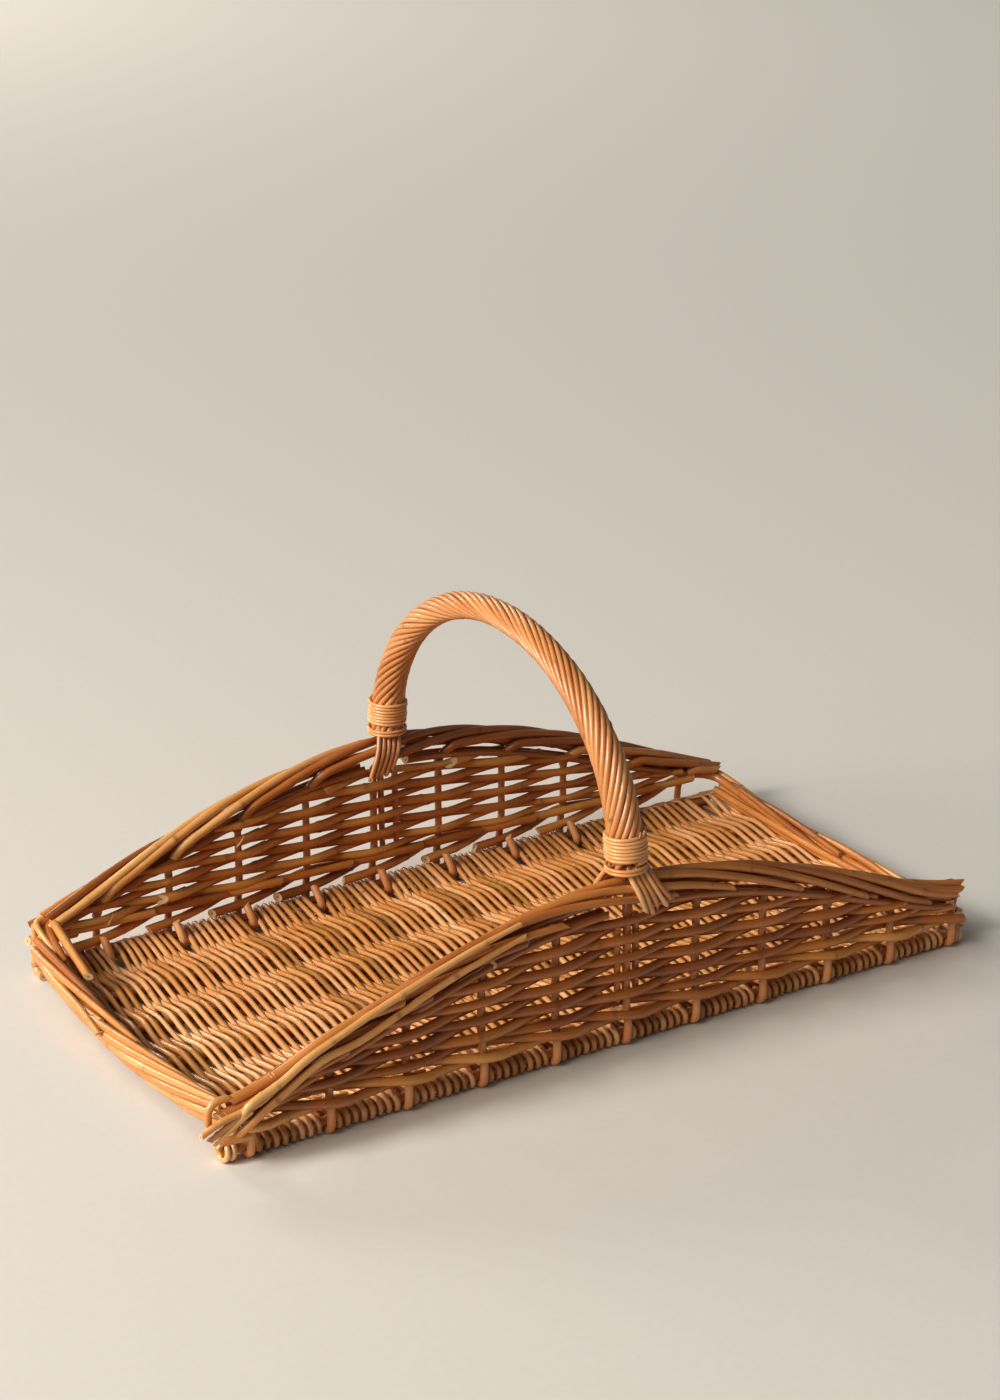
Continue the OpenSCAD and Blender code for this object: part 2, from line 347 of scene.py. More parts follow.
def willow(name, colours, gloss, streak=0.5, coat=0.12, drifting=0.7):
    """Peeled and boiled willow: a tone for each rod, streaks along the grain, drifts of
    colour along the rod, dark bud scars and pale cut ends with a darker pith."""
    material = bpy.data.materials.new(name)
    material.use_nodes = True
    tree = material.node_tree
    shader = tree.nodes["Principled BSDF"]
    tone = node(tree, "ShaderNodeAttribute", attribute_name="tone")
    grain = node(tree, "ShaderNodeAttribute", attribute_name="grain")
    bud = node(tree, "ShaderNodeAttribute", attribute_name="bud")
    cut = node(tree, "ShaderNodeAttribute", attribute_name="cut")

    def noise(scale, size, detail, roughness=0.55):
        stretch = node(tree, "ShaderNodeMapping", [(0, grain.outputs["Vector"])])
        stretch.inputs["Scale"].default_value = scale
        return node(
            tree, "ShaderNodeTexNoise", [(0, stretch.outputs[0])],
            in_2=size, in_3=detail, in_4=roughness)

    drift = noise((0.10, 0.10, 0.022), 1.0, 2.0)
    fibre = noise((2.6, 2.6, 0.09), 1.0, 4.0, 0.65)
    speck = noise((0.9, 0.9, 0.45), 1.0, 3.0, 0.6)

    lean = node(
        tree, "ShaderNodeMath", [(0, drift.outputs[0])], operation="MULTIPLY_ADD",
        in_1=drifting, in_2=-drifting / 2)
    place = node(
        tree, "ShaderNodeMath", [(0, tone.outputs["Fac"]), (1, lean.outputs[0])],
        operation="ADD", use_clamp=True)
    ramp = node(tree, "ShaderNodeValToRGB", [(0, place.outputs[0])])
    while len(ramp.color_ramp.elements) < len(colours):
        ramp.color_ramp.elements.new(0.5)
    for k, colour in enumerate(colours):
        ramp.color_ramp.elements[k].position = k / (len(colours) - 1)
        ramp.color_ramp.elements[k].color = linear(*colour)

    shade = node(
        tree, "ShaderNodeMapRange", [(0, fibre.outputs[0])],
        in_1=0.30, in_2=0.70, in_3=1 - streak * 0.42, in_4=1 + streak * 0.16)
    streaked = node(
        tree, "ShaderNodeVectorMath", [(0, ramp.outputs[0]), (1, shade.outputs[0])],
        operation="MULTIPLY")
    blotch = node(
        tree, "ShaderNodeMapRange", [(0, speck.outputs[0])],
        in_1=0.58, in_2=0.78, in_3=0.0, in_4=0.42)
    worn = node(
        tree, "ShaderNodeMix", [(0, blotch.outputs[0]), (6, streaked.outputs[0])],
        data_type="RGBA")
    worn.inputs[7].default_value = linear(128, 80, 42)
    scar = node(
        tree, "ShaderNodeMath", [(0, bud.outputs["Fac"])], operation="MULTIPLY", in_1=0.62)
    budded = node(
        tree, "ShaderNodeMix", [(0, scar.outputs[0]), (6, worn.outputs[2])],
        data_type="RGBA")
    budded.inputs[7].default_value = linear(96, 58, 30)

    flat_grain = node(
        tree, "ShaderNodeVectorMath", [(0, grain.outputs["Vector"])], operation="MULTIPLY",
        in_1=(1.0, 1.0, 0.0))
    out = node(
        tree, "ShaderNodeVectorMath", [(0, flat_grain.outputs[0])], operation="LENGTH")
    pith = node(
        tree, "ShaderNodeMapRange", [(0, out.outputs["Value"])],
        in_1=0.35, in_2=1.0, in_3=1.0, in_4=0.0)
    wood = node(
        tree, "ShaderNodeMix", [(0, pith.outputs[0])], data_type="RGBA")
    wood.inputs[6].default_value = linear(226, 190, 142)
    wood.inputs[7].default_value = linear(150, 104, 62)
    colour = node(
        tree, "ShaderNodeMix",
        [(0, cut.outputs["Fac"]), (6, budded.outputs[2]), (7, wood.outputs[2])],
        data_type="RGBA")
    tree.links.new(colour.outputs[2], shader.inputs["Base Color"])

    sheen = node(
        tree, "ShaderNodeMapRange", [(0, speck.outputs[0])],
        in_1=0.3, in_2=0.7, in_3=gloss, in_4=gloss + 0.2)
    tree.links.new(sheen.outputs[0], shader.inputs["Roughness"])
    height = node(
        tree, "ShaderNodeMath", [(0, fibre.outputs[0]), (1, speck.outputs[0])],
        operation="ADD")
    relief = node(
        tree, "ShaderNodeBump", [("Height", height.outputs[0])])
    relief.inputs["Strength"].default_value = RELIEF
    relief.inputs["Distance"].default_value = 0.0004
    tree.links.new(relief.outputs[0], shader.inputs["Normal"])
    shader.inputs["Coat Weight"].default_value = coat
    shader.inputs["Coat Roughness"].default_value = 0.32
    shader.inputs["Specular IOR Level"].default_value = 0.75
    return material


base_willow = willow(
    "base_weaver_willow",
    [(172, 118, 54), (202, 139, 72), (216, 153, 90), (227, 167, 108), (238, 188, 134)],
    gloss=0.28, drifting=0.5, coat=0.35)
side_willow = willow(
    "side_weaver_willow",
    [(156, 84, 27), (184, 108, 40), (208, 131, 52), (224, 152, 68), (234, 172, 92)],
    gloss=0.28, coat=0.3)
border_willow = willow(
    "border_willow",
    [(156, 88, 34), (184, 110, 46), (205, 131, 60), (219, 151, 80), (230, 176, 108)],
    gloss=0.28, coat=0.3)
handle_willow = willow(
    "handle_willow",
    [(178, 104, 54), (197, 126, 68), (210, 142, 82), (221, 159, 99), (231, 180, 124)],
    gloss=0.26, coat=0.25, drifting=0.5)
stake_willow = willow(
    "stake_willow",
    [(192, 116, 66), (210, 134, 76), (219, 146, 88), (226, 158, 100), (233, 172, 116)],
    gloss=0.30)
stick_willow = willow(
    "stick_willow",
    [(164, 102, 46), (182, 120, 58), (195, 134, 70), (204, 146, 82), (212, 160, 98)],
    gloss=0.42)
cane = willow(
    "binding_cane",
    [(196, 118, 56), (212, 136, 70), (222, 150, 84), (231, 168, 104), (239, 188, 128)],
    gloss=0.26, streak=0.65, coat=0.3)


# ---- base ----

def crossing_height(y, over_front):
    """Height of a weaver above the middle of the base, from -1 to 1, at a width y. It goes
    over one lengthwise stick and under the next, with a sharp bend at each."""
    places = np.interp(y, STICK_Y, range(6))
    swing = math.cos(math.pi * places) * over_front
    return math.asin(0.985 * swing) / math.asin(0.985)


def edge_x(j, side):
    """Where row j meets the edge: eight turns between two stakes, with room for the stake."""
    first = j if (j % 2 == 0) == (side < 0) else j - 1
    shift = side_shift(side)
    place = (first + 1 - ROWS / 2) * ROW_STEP + shift + 0.01
    bay = math.floor(place / STAKE_PITCH)
    turn = math.floor((place - bay * STAKE_PITCH) / (2 * ROW_STEP))
    lean = -TURN_LEAN if first == j else TURN_LEAN
    return bay * STAKE_PITCH + FIRST_TURN + TURN_STEP * turn - shift + lean


def row_place(j, y, drift):
    """Place of row j along the basket at a width y. The rows spread at the right end and
    draw in at the far left, as the real basket is a little skewed."""
    middle = (j - (ROWS - 1) / 2) * ROW_STEP
    bunch = min(1.0, max(0.0, (abs(y) - INNER_Y - 8) / (EDGE_Y - INNER_Y - 8)))
    bunch = bunch * bunch * (3 - 2 * bunch)
    x = middle + (edge_x(j, -1 if y < 0 else 1) - middle) * bunch
    end = max(0.0, (abs(x) - 150) / 130) ** 1.5
    if x > 0:
        skew = RIGHT_SKEW * end * min(1.0, max(0.0, (y + 145) / 60))
    else:
        skew = LEFT_SKEW * end * min(1.0, max(0.0, (y - 10) / 120))
    return x + skew + (1 - bunch) * np.interp(y, STICK_Y, drift)


def base_rod_path(rng, first, radius_at):
    """One weaver: three rows joined by turns round the edge sticks. Its first end lies
    under the base, and so does its last, just past the turn to the next weaver."""
    path = []
    radii = []
    run = 0.0
    for j in range(first, first + ROWS_PER_ROD + 1):
        over_front = 1 if j % 2 == 0 else -1
        drift = [rng.uniform(-0.8, 0.8) for _ in STICK_Y]
        lift = [rng.uniform(-0.5, 0.5) for _ in STICK_Y]
        start = over_front * EDGE_Y
        if j == first:
            start = over_front * (EDGE_Y - 10)
        stop = -over_front * EDGE_Y
        if j == first + ROWS_PER_ROD:
            stop = over_front * (EDGE_Y - 24)
        count = max(2, int(abs(stop - start) / 2.6))
        for k in range(count + 1):
            y = start + (stop - start) * k / count
            r = radius_at(run)
            z = MID_Z + (STICK_R + r * 0.97) * crossing_height(y, over_front)
            z += float(np.interp(y, STICK_Y, lift)) * math.cos(math.pi * y / EDGE_Y)
            x = row_place(j, y, drift)
            if j == first and k < 8:
                x += 0.9 * (1 - k / 8)
            if j == first + ROWS_PER_ROD:
                x -= 1.1 * k / count
                z -= 0.6 * k / count
            path.append((x, y, max(z, r)))
            radii.append(r)
            run += abs(stop - start) / count
        if j < first + ROWS_PER_ROD:
            side = -over_front
            r = radius_at(run)
            reach = STICK_R + r * 0.97
            x0 = edge_x(j, side)
            x1 = edge_x(j + 1, side)
            for k in range(1, 8):
                turn = math.pi * k / 8
                path.append((
                    x0 + (x1 - x0) * k / 8,
                    side * (EDGE_Y + reach * math.sin(turn)),
                    MID_Z + reach * math.cos(turn)))
                radii.append(r)
            run += math.pi * reach
    return path, radii


def corner_wrap(way, turns):
    """The last weaver goes on round the end of the front edge stick."""
    wrap = []
    for k in range(int(12 * turns) + 4):
        turn = 2 * math.pi * (k - 2) / 12
        wrap.append((
            way * (284.2 + 4.3 * (k - 2) / 12),
            -(EDGE_Y + WRAP_R * math.sin(turn)),
            MID_Z + WRAP_R * math.cos(turn)))
    return wrap


def make_base_weavers():
    """The rods across the base, in six groups along it."""
    rng = random.Random(11)
    for group in range(GROUPS):
        rods = Rods(100 + group)
        per_group = ROWS // GROUPS
        for w in range(per_group // ROWS_PER_ROD):
            first = group * per_group + w * ROWS_PER_ROD
            butt = rng.uniform(1.95, 2.3)
            tip = rng.uniform(1.55, 1.75)
            flip = (first // ROWS_PER_ROD) % 2
            ends = (tip, butt) if flip else (butt, tip)
            length = (ROWS_PER_ROD + 0.1) * (2 * EDGE_Y + 16)

            def radius_at(run, ends=ends, length=length):
                return ends[0] + (ends[1] - ends[0]) * min(1.0, run / length)

            path, radii = base_rod_path(rng, first, radius_at)
            if first + ROWS_PER_ROD >= ROWS:
                keep = len(path) - 14
                path, radii = path[:keep], radii[:keep]
            rods.add(
                path, radii, tone=rng.uniform(0.05, 0.95), step=5.5, smooth=False, buds=85)
        if group in (0, GROUPS - 1):
            way = -1 if group == 0 else 1
            turns = 2.0 if group == 0 else 1.0
            rods.add(corner_wrap(way, turns), 1.9, tone=0.95, buds=0)
        rods.build(
            "willow_base_weavers_%d" % (group + 1), base_willow, "base_weaver_willow",
            "base_weavers_%d" % (group + 1))


def make_base_sticks():
    """The lengthwise sticks: one at each edge and four between them."""
    for side, word in SIDES:
        rods = Rods(120 + side)
        left = -291.5 if side < 0 else -270
        line = [(x, side * EDGE_Y, MID_Z) for x in np.linspace(left, 285 + 3 * side, 24)]
        rods.add(line, [3.15] * 12 + [3.0] * 12, tone=0.5, sides=12)
        rods.build(
            "willow_edge_stick_" + word, stick_willow, "stick_willow",
            "base_edge_stick_" + word)
    rods = Rods(123)
    for y in STICK_Y[1:5]:
        line = [(x, y + rods.rng.uniform(-0.6, 0.6), MID_Z) for x in np.linspace(-280, 280, 20)]
        rods.add(line, 3.1, sides=12)
    rods.build("willow_inner_sticks", stick_willow, "stick_willow", "base_inner_sticks")


# ---- sides ----

def make_stakes(side, word, tones):
    """Each stake is one rod: a short peg inside, a bend under the edge and the upright."""
    rods = Rods(200 + side)
    for i in range(-5, 6):
        x = stake_x(side, i)
        top = max(border_mid(x) - 11, 38)
        lean = rods.rng.uniform(-0.7, 0.7)
        tall = rods.rng.uniform(-1.5, 1.5)
        path = []
        if abs(x) < 250 or side < 0:
            path += [
                (x - 1.0, 138.4, 21.5 + tall), (x - 0.4, 134.6, 16), (x + 0.4, 131.6, 11),
                (x + 0.8, 131.6, 6.6), (x + 0.7, 135.4, 3.3)]
        path += [
            (x + 0.3, 142, 2.9), (x, 149.2, 3.2), (x, 152.8, 6.4), (x, 153.3, 11),
            (x, 152.8, 18), (x, 151.2, 27), (x + lean, WALL_Y, 36)]
        for z in np.arange(48, top, 14):
            path.append((x + lean, WALL_Y, z))
        path.append((x + lean, WALL_Y, top))
        radii = np.linspace(2.9, 2.55, len(path)).tolist()
        # The tones carry painted shade: the front stakes are darker.
        rods.add(
            [(px, side * py, pz) for px, py, pz in path], radii, tone=0.5 + 0.5 * tones[i],
            sides=12, step=5, slant=(0.5, 0.3))
    rods.build("willow_stakes_" + word, stake_willow, "stake_willow", "stakes_" + word)


def make_foot_rods(side, word):
    """Each rod starts high inside one stake, bends round the outside of the next and ends
    low inside the one after."""
    rods = Rods(210 + side)
    rng = rods.rng
    out_y = WALL_Y + 2.0 + STAKE_R + 2.9
    way = -side
    for i in range(-5, 6):
        x = stake_x(side, i)
        path = []
        start = -90 + rng.uniform(-8, 12)
        stop = 80 + rng.uniform(-6, 8)
        if way * x - 60 < -BASE_HALF:
            path += [(x - 4 * way, out_y - 0.6, 25.6)]
        else:
            if way * x + start > -BASE_HALF:
                path += [(x + start * way, 143.6, 29.0)]
            path += [(x - 62 * way, 143.8, 29.4), (x - 46 * way, 145.6, 28.6)]
            path += [(x - 24 * way, 151.0, 27.2), (x - 9 * way, out_y - 1.2, 26.0)]
        path += [(x - 3 * way, out_y, 25.0), (x + 3 * way, out_y, 24.2)]
        if way * x + 60 > BASE_HALF:
            path += [(x + 6.5 * way, out_y - 0.6, 23.6)]
        else:
            path += [
                (x + 9 * way, out_y - 0.8, 23.2), (x + 24 * way, 151.6, 21.6),
                (x + 46 * way, 145.8, 19.6), (x + 60 * way, 144.0, 18.6)]
            if way * x + stop < BASE_HALF:
                path += [(x + stop * way, 142.8, 17.6)]
        thick = rng.uniform(3.0, 3.35)
        radii = [thick * (0.92 + 0.12 * k / len(path)) for k in range(len(path))]
        rods.add([(px, side * py, pz) for px, py, pz in path], radii, sides=12, step=4.5)
    rods.build(
        "willow_foot_rods_" + word, side_willow, "side_weaver_willow", "foot_rods_" + word)


# Where the thick end of a weaver shows, by row
BACK_BUTTS = {1: [-225], 2: [-186], 4: [-179], 5: [-125], 7: [-124], 10: [-53, 50]}
FRONT_BUTTS = {1: [101], 2: [-174], 4: [156], 6: [46], 7: [-119], 8: [-64], 10: [46]}


def make_side_weaver(side, word, n):
    """One row of a side wall: it goes in front of one stake and behind the next, in as
    many rods as the row shows thick ends."""
    rods = Rods(300 + 20 * (side > 0) + n)
    rng = rods.rng
    shift = side_shift(side)
    reach = row_reach(n)
    phase = 1 if n % 2 == 0 else -1
    wobble = [rng.uniform(-0.5, 0.5) for _ in range(13)]

    def point(x, push=0.0):
        swing = math.cos(math.pi * (x + shift) / STAKE_PITCH) * phase
        swing = math.asin(0.9 * swing) / math.asin(0.9)
        sway = STAKE_R + 2.9
        z = row_z(n, x) + float(np.interp(x, np.linspace(-300, 300, 13), wobble))
        z = min(z, border_mid(x) - 4)
        return (x, side * (WALL_Y + sway * swing + push), z)

    butts = (BACK_BUTTS if side > 0 else FRONT_BUTTS).get(n, [])
    cuts = [c for c in butts if abs(c) < reach - 15]
    left_end, right_end = BORDER_ENDS[side]
    pieces = [max(-reach - 30, left_end + 7)] + cuts + [min(reach + 30, right_end - 5)]
    for k in range(len(pieces) - 1):
        start, stop = pieces[k], pieces[k + 1]
        tail = k < len(pieces) - 2
        if tail:
            stop += 26
        xs = np.linspace(start, stop, max(4, int((stop - start) / 9)))
        butt = rng.uniform(3.15, 3.4)
        tip = rng.uniform(1.9, 2.2)
        path = []
        radii = []
        for x in xs:
            push = 0.0
            if k > 0 and x - start < 30:
                push = -2.6 * (1 - (x - start) / 30)
            if tail and stop - x < 30:
                push = 3.2 * (1 - (stop - x) / 30)
            path.append(point(x, push))
            t = (x - start) / (stop - start)
            if k > 0:
                r = butt + (tip - butt) * t
            elif tail:
                r = 2.3 + (2.7 - 2.3) * math.sin(math.pi * t)
            else:
                r = 3.3 - 0.5 * abs(x) / 300
            r = min(r, 3.4 - 1.3 * (abs(x) / max(reach + 30, 120)) ** 6)
            radii.append(r * (1.08 if side < 0 else 1.0))
        # Painted shade and light: front rows take darker tones, shading the front wall; back rows
        # take lighter tones, lighting the back wall.
        tone = rng.uniform(0.0, 0.45) if side < 0 else rng.uniform(0.35, 1.0)
        rods.add(
            path, radii, tone=tone, sides=12, step=5.5, slant=(1.3 if k > 0 else 0.5, 0.5))
    rods.build(
        "willow_%s_weaver_%d" % (word, n), side_willow, "side_weaver_willow",
        "%s_weaver_%d" % (word, n))


# ---- borders ----

def lane_point(side, x, turn):
    """Point of the border at an angle round its middle: 0 is on top, -90 inside."""
    a = math.radians(turn)
    narrow = 1 - 0.5 * (min(abs(x), 298) / 290) ** 6
    lift = 7.0 * max(0.0, (x - 225) / 60) ** 2 if side < 0 else -2.5 * (abs(x) / 290) ** 6
    return (
        x, side * (WALL_Y + border_spread(x) * math.sin(a)),
        border_mid(x) + LANE_UP * narrow * math.cos(a) + lift)


def make_border(side, word, tones):
    """Each stake bends over to the right and runs on for about four bays as a border rod,
    from low inside, over the top, to low outside, where it is cut off. Three more rods
    start at the left end, and thin filler rods close the middle."""
    lanes = [Rods(400 + 10 * (side > 0) + k) for k in range(BORDER_LANES)]
    left_end, right_end = BORDER_ENDS[side]
    for i in range(-8, 6):
        lane = lanes[i % BORDER_LANES]
        rng = lane.rng
        x0 = stake_x(side, i) if i >= -5 else i * STAKE_PITCH - side_shift(side)
        length = BORDER_ROD_LENGTH + rng.uniform(-14, 22)
        stop = min(x0 + length, right_end + 2 - rng.uniform(0, 5))
        path = []
        if i >= -5:
            path += [(x0, side * WALL_Y, border_mid(x0) - 17)]
            path += [(x0 + 0.8, side * (WALL_Y - 0.8), border_mid(x0) - 12)]
            begin = x0 + 10
        else:
            begin = left_end + 1 + rng.uniform(0, 5) + 5 * (i + 8)
        xs = np.linspace(begin, stop, max(3, int((stop - begin) / 15)))
        for x in xs:
            t = (x - x0) / length
            path.append(lane_point(side, x, LANE_START + LANE_TURN * t))
        radii = []
        for p in path:
            t = (p[0] - x0) / length
            radii.append(3.25 - 0.85 * max(0, t) ** 1.3)
        # The tones carry painted shade: the front border rods are darker.
        lane.add(path, radii, tone=tones[i], sides=12, step=6, slant=(0.4, 1.2), buds=90)
    for k, lane in enumerate(lanes):
        lane.build(
            "willow_%s_border_rod_%d" % (word, k + 1), border_willow, "border_willow",
            "%s_border_rod_%d" % (word, k + 1))
    filler = Rods(430 + side)
    for start, stop in ((left_end + 6, -14), (14, right_end - 6)):
        for out, up, thick in ((0, 0, 2.9), (-3.6, -9.4, 2.6), (3.6, -9.4, 2.6)):
            line = [
                (x, side * (WALL_Y + out), border_mid(x) + up * (1 - 0.4 * (abs(x) / 290) ** 4))
                for x in np.linspace(start, stop, 16)]
            filler.add(line, thick, tone=0.2)
    filler.build(
        "willow_%s_border_filler" % word, border_willow, "border_willow",
        word + "_border_filler")


def end_middle(side, y):
    """Middle of an end border, as a distance along the basket and a height. It sags a
    little between the two walls, and the left one bows outwards."""
    if side < 0:
        return 286.0 - 0.00025 * (y + 40) ** 2, 16.6 + 0.00042 * y * y
    return 292.5 + 0.03 * y, 13.8 + 0.00014 * (y + 10) ** 2


def end_point(side, y, turn, out=5.6, up=7.4):
    """Point of an end border at an angle round its middle: 0 is on top, 90 outside."""
    x, z = end_middle(side, y)
    a = math.radians(turn)
    return side * (x + out * math.sin(a)), y, z + up * math.cos(a)


def make_end_border(side, word):
    """Long rods that wind slowly round each other along the low end of the basket, with
    thinner ones over them and straight ones that fill the middle."""
    rods = Rods(440 + side)
    rng = rods.rng
    for k in range(6):
        start = END_HALF - 42 * k
        stop = max(start - END_ROD_LENGTH, -END_HALF)
        ys = np.linspace(start, stop, 14)
        path = [end_point(side, y, 170 - 235 * (start - y) / END_ROD_LENGTH) for y in ys]
        radii = np.linspace(3.3, 2.0, len(path)).tolist()
        rods.add(path, radii, sides=12, step=6, slant=(1.0, 0.8), tone=rng.uniform(0.55, 1))
    for k in range(4):
        ys = np.linspace(END_HALF, -60 + 40 * k, 12)
        path = [end_point(side, y, 30 + 60 * k - (END_HALF - y) * 0.9, 5.2, 7.0) for y in ys]
        rods.add(path, np.linspace(2.8, 2.1, len(path)).tolist(), sides=12, step=6)
    for turn, out, up, thick in ((0, 0, 0, 3.3), (-90, 6.5, 4, 2.7), (-120, 5.5, 8, 2.6)):
        path = [end_point(side, y, turn, out, up) for y in np.linspace(140, -140, 16)]
        rods.add(path, thick, sides=12, step=6, tone=0.6)
    rods.build("willow_end_border_" + word, border_willow, "border_willow", "end_border_" + word)


def make_corners():
    """The rods that join the arched borders to the low ends. Each row is a path, a radius
    for each point and a tone."""
    front = [
        ([(-288, -152, 43), (-262, -153, 50), (-214, -157, 73), (-171, -158, 79)],
         [3.4, 3.4, 3.1, 2.6], 0.6),
        ([(-302, -151, 30), (-301.5, -151, 40), (-298, -151, 44), (-288, -152, 46)],
         [2.5, 2.6, 2.6, 2.4], 0.75),
        ([(-296.5, -153, 35.6), (-272, -154, 41.5), (-240, -156, 55)], [3.0, 3.0, 2.6], 0.45),
        ([(-310, -157, 28), (-297, -157.5, 34), (-272, -159, 40.5), (-250, -157, 52)],
         [1.9, 2.3, 2.4, 2.2], 0.8),
        ([(-305, -157, 23.5), (-286, -158, 34), (-270, -158.5, 45)], [1.9, 2.2, 2.2], 0.7),
        ([(-302, -157.5, 20), (-277, -160, 38)], [1.2, 2.3], 1.0),
        ([(-284, -158, 33), (-280, -160.5, 41), (-257.7, -160.4, 50.3), (-240, -160.2, 60.3),
          (-208, -160.4, 73.6), (-165, -159.6, 88.4), (-122, -158, 101), (-84, -156, 109)],
         [2.3, 2.5, 2.6, 2.5, 2.4, 2.2, 2.0, 1.6], 0.95),
        ([(-286, -157.5, 22), (-280, -160, 27.8), (-258, -160.4, 41.3), (-228.5, -160.4, 57.3),
          (-203.5, -160.4, 62.8), (-155, -159.8, 80.8), (-118, -159.4, 92.5),
          (-80, -158.4, 102)], [2.3, 2.5, 2.6, 2.5, 2.4, 2.2, 2.0, 1.6], 0.85),
        ([(-292, -151, 16.5), (-277, -156.4, 19.5)], [2.8, 2.9], 0.7)]
    back_left = [
        ([(-240, 155, 50), (-264, 153, 43), (-276, 149.5, 40), (-277.5, 144, 38),
          (-276.5, 134, 33), (-275, 120, 27)], [2.6, 2.5, 2.4, 2.2, 2.0, 1.7], 1.0),
        ([(-262, 152, 40), (-265, 147, 40), (-268, 118, 34), (-272, 77, 27)],
         [3.1, 3.2, 3.1, 2.8], 0.7),
        ([(-244, 153, 42), (-262, 151, 40), (-269, 146, 37), (-274, 111, 26)],
         [2.7, 2.8, 2.8, 2.5], 0.25),
        ([(-244, 155, 22), (-264, 155, 22), (-277, 149, 22), (-283, 132, 22),
          (-288, 100, 22), (-292, 50, 22), (-296, 13, 20)],
         [2.5, 2.7, 2.7, 2.7, 2.6, 2.4, 2.0], 0.8)]
    back_right = [
        ([(262, 155, 33), (284, 153, 31), (296, 147, 28), (300, 122, 23), (299, 88, 19),
          (297, 50, 17)], [2.4, 2.6, 2.6, 2.6, 2.4, 2.0], 0.9),
        ([(268, 147, 31), (282, 147, 29), (292, 141, 26), (294, 118, 22), (293, 92, 19),
          (290, 40, 16)], [2.7, 2.9, 3.0, 2.9, 2.6, 2.2], 0.5)]
    for seed, word, bundle in (
            (460, "front_left", front), (464, "back_left", back_left),
            (466, "back_right", back_right)):
        rods = Rods(seed)
        for path, radii, tone in bundle:
            rods.add(path, radii, tone=tone, sides=12, step=4.5, slant=(0.6, 0.6))
        rods.build(
            "willow_corner_rods_" + word, border_willow, "border_willow",
            "corner_rods_" + word)


# ---- handle ----

def bow_point(t):
    """Point of the handle's arch, from the back foot (0) to the front one (1)."""
    a = math.pi * t
    return np.array((0.0, HANDLE_HALF * math.cos(a), HANDLE_FOOT_Z + HANDLE_RISE * math.sin(a)))


def roping_radius(t):
    """Radius of the circle that the strands lie on, from the back foot to the front one."""
    x = abs(2 * t - 1)
    return (HANDLE_D + 6.4 * x ** 1.5 - 1.6 * x ** 16) / 2.42


def make_handle_bow():
    """The thick rod inside the handle."""
    rods = Rods(500)
    path = [(0, HANDLE_HALF, HANDLE_FOOT_Z - 6)]
    path += [bow_point(k / 28) for k in range(29)]
    path += [(0, -HANDLE_HALF, HANDLE_FOOT_Z - 6)]
    rods.add(path, [6.0] + [roping_radius(k / 28) * 0.78 for k in range(29)] + [6.0],
             tone=0.1, sides=16, buds=0)
    rods.build("willow_handle_bow", handle_willow, "stick_willow", "handle_bow")


def make_handle_roping():
    """The thin rods that wind round the bow from foot to foot."""
    rods = Rods(501)
    rng = rods.rng
    for k in range(STRANDS):
        wide = rng.uniform(0.92, 1.08)
        slip = rng.uniform(-0.06, 0.06)
        path = []
        radii = []
        for m in range(73):
            t = m / 72
            p = bow_point(t)
            q = bow_point(t + 0.002) - bow_point(t - 0.002)
            out = np.array((0.0, q[2], -q[1]))
            out = out / np.linalg.norm(out)
            a = 2 * math.pi * ((k + slip) / STRANDS + STRAND_TURNS * t)
            big = roping_radius(t) * (1 + 0.01 * math.sin(9 * t + k))
            path.append(p + big * (math.cos(a) * out - math.sin(a) * np.array((1.0, 0, 0))))
            radii.append(0.213 * roping_radius(t) * wide)
        rods.add(
            path, radii, tone=rng.uniform(0.35, 0.75), sides=10, step=5, smooth=False,
            buds=120, slant=(0.4, 0.4))
    rods.build("willow_handle_roping", handle_willow, "handle_willow", "handle_roping")


def make_handle_binding(side, word):
    """Cane wound round a foot of the handle, a looser second winding and frayed ends."""
    rods = Rods(510 + side)
    rng = rods.rng

    def ring_point(a, z, swell=0.0):
        lift = z - (HANDLE_FOOT_Z - 1)
        middle = side * (HANDLE_HALF - 0.0035 * lift * lift)
        return (
            (BINDING_R + swell) * math.sin(a), middle + (BINDING_R + swell) * math.cos(a) * side, z)

    path = []
    turns = 7
    for m in range(turns * 24 + 1):
        a = 2 * math.pi * m / 24
        z = HANDLE_FOOT_Z + 6.0 + 2.35 * m / 24 + 0.35 * math.sin(a + 0.6)
        path.append(ring_point(a, z, 0.25 * math.sin(0.7 * m)))
    rods.add(path, 1.28, tone=0.8, sides=10, step=3.0, smooth=False, buds=0)
    path = []
    for m in range(43):
        a = 2 * math.pi * m / 24 + 2.2
        z = HANDLE_FOOT_Z - 1.6 + 2.3 * m / 24 + 0.5 * math.sin(a)
        path.append(ring_point(a, z, 0.2))
    rods.add(path, 1.2, tone=0.65, sides=10, step=3.0, smooth=False, buds=0)
    for m in range(7):
        a = rng.uniform(-0.5, 1.7)
        z = HANDLE_FOOT_Z + 21
        p = ring_point(a, z, -0.6)
        q = ring_point(a + rng.uniform(-0.2, 0.2), z + rng.uniform(2.5, 5.5), 0.4)
        rods.add([p, q], [1.1, 0.6], sides=8, buds=0)
    rods.build(
        "cane_handle_binding_" + word, cane, "binding_cane", "handle_binding_" + word)


